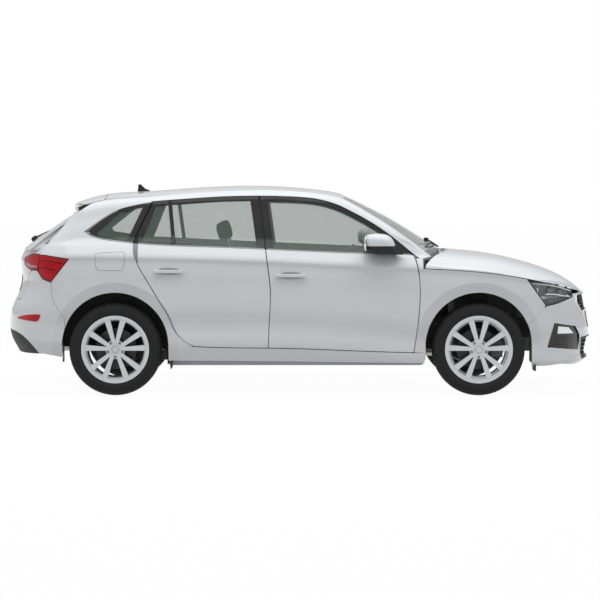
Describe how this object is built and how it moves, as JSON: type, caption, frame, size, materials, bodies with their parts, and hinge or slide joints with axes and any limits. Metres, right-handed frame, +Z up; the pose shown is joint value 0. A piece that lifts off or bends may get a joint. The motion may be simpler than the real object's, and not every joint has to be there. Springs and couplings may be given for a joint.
{
  "type": "compact hatchback car",
  "caption": "Compact hatchback car with hinged doors, hood and tailgate, steered front wheels, rolling wheels and a furnished cabin.",
  "frame": {"origin": "on the ground, under the middle of the car", "axes": "+X forward, +Y to the car's left, +Z up"},
  "size_m": [4.3854, 2.05, 1.538],
  "materials": {
    "paint": "gloss white clear coat",
    "glass": "lightly tinted, polished",
    "black_gloss": "gloss",
    "black_plastic": "fine grained",
    "lamp_clear": "clear lens",
    "lamp_red": "moulded lens",
    "underbody": "satin",
    "interior": "soft grained",
    "leather": "fine grained",
    "seat_fabric": "woven",
    "castings": "as cast",
    "exhaust_steel": "dull",
    "tyre": "matte rubber",
    "alloy": "silver lacquer"
  },
  "bodies": {
    "body": {"antenna": "black_gloss", "arch_liners": "black_plastic", "cowl": "black_plastic", "dashboard": "interior", "engine": "castings", "exhaust": "exhaust_steel", "floor_pan": "underbody", "fog_lamps": "black_gloss", "front_bumper": "paint", "front_fenders": "paint", "front_seats": "seat_fabric", "front_structure": "underbody", "front_suspension": "castings", "fuel_tank": "black_plastic", "grille": "black_plastic", "headlamps": "lamp_clear", "quarter_windows": "glass", "rear_bench": "seat_fabric", "rear_bumper": "paint", "rear_suspension": "castings", "roof": "paint", "side_frame_left": "paint", "side_frame_right": "paint", "tail_lamps": "lamp_red", "windscreen": "glass"},
    "hood": {"hood": "paint"},
    "tailgate": {"tailgate": "paint", "tailgate_glass": "glass", "tailgate_lamps": "lamp_red"},
    "steering_wheel": {"steering_wheel": "leather"},
    "front_door_left": {"door_front_left": "paint", "door_glass_front_left": "glass", "mirror_left": "paint"},
    "rear_door_left": {"door_rear_left": "paint", "door_glass_rear_left": "glass"},
    "knuckle_left": {"knuckle_front_left": "castings"},
    "front_wheel_left": {"tyre_front_left": "tyre", "rim_front_left": "alloy"},
    "rear_wheel_left": {"tyre_rear_left": "tyre", "rim_rear_left": "alloy"},
    "front_door_right": {"door_front_right": "paint", "door_glass_front_right": "glass", "mirror_right": "paint"},
    "rear_door_right": {"door_rear_right": "paint", "door_glass_rear_right": "glass"},
    "knuckle_right": {"knuckle_front_right": "castings"},
    "front_wheel_right": {"tyre_front_right": "tyre", "rim_front_right": "alloy"},
    "rear_wheel_right": {"tyre_rear_right": "tyre", "rim_rear_right": "alloy"}
  },
  "joints": [
    {"name": "front_door_left_hinge", "type": "hinge", "parent": "body", "child": "front_door_left", "pos_m": [0.8, 0.89, 0.65], "axis": [0, 0.0576, -0.9983], "range_deg": [0, 65]},
    {"name": "rear_door_left_hinge", "type": "hinge", "parent": "body", "child": "rear_door_left", "pos_m": [-0.272, 0.89, 0.65], "axis": [0, 0.0576, -0.9983], "range_deg": [0, 68]},
    {"name": "front_door_right_hinge", "type": "hinge", "parent": "body", "child": "front_door_right", "pos_m": [0.8, -0.89, 0.65], "axis": [0, 0.0576, 0.9983], "range_deg": [0, 65]},
    {"name": "rear_door_right_hinge", "type": "hinge", "parent": "body", "child": "rear_door_right", "pos_m": [-0.272, -0.89, 0.65], "axis": [0, 0.0576, 0.9983], "range_deg": [0, 68]},
    {"name": "hood_hinge", "type": "hinge", "parent": "body", "child": "hood", "pos_m": [0.905, 0, 0.985], "axis": [0, -1, 0], "range_deg": [0, 48]},
    {"name": "tailgate_hinge", "type": "hinge", "parent": "body", "child": "tailgate", "pos_m": [-1.428, 0, 1.464], "axis": [0, 1, 0], "range_deg": [0, 82]},
    {"name": "steer_left", "type": "hinge", "parent": "body", "child": "knuckle_left", "pos_m": [1.301, 0.7655, 0.338], "axis": [0, 0, 1], "range_deg": [-35, 35]},
    {"name": "steer_right", "type": "hinge", "parent": "body", "child": "knuckle_right", "pos_m": [1.301, -0.7655, 0.338], "axis": [0, 0, 1], "range_deg": [-35, 35]},
    {"name": "steering_wheel_turn", "type": "hinge", "parent": "body", "child": "steering_wheel", "pos_m": [0.33, 0.36, 0.9], "axis": [-0.88, 0, 0.475], "range_deg": [-525, 525]},
    {"name": "front_wheel_left_spin", "type": "hinge", "parent": "knuckle_left", "child": "front_wheel_left", "pos_m": [1.301, 0.7655, 0.338], "axis": [0, 1, 0], "continuous": true},
    {"name": "rear_wheel_left_spin", "type": "hinge", "parent": "body", "child": "rear_wheel_left", "pos_m": [-1.348, 0.758, 0.338], "axis": [0, 1, 0], "continuous": true},
    {"name": "front_wheel_right_spin", "type": "hinge", "parent": "knuckle_right", "child": "front_wheel_right", "pos_m": [1.301, -0.7655, 0.338], "axis": [0, 1, 0], "continuous": true},
    {"name": "rear_wheel_right_spin", "type": "hinge", "parent": "body", "child": "rear_wheel_right", "pos_m": [-1.348, -0.758, 0.338], "axis": [0, 1, 0], "continuous": true}
  ],
  "couplings": [
    {"joint": "steer_right", "follows": "steer_left", "ratio": 1},
    {"joint": "steering_wheel_turn", "follows": "steer_left", "ratio": 15}
  ]
}
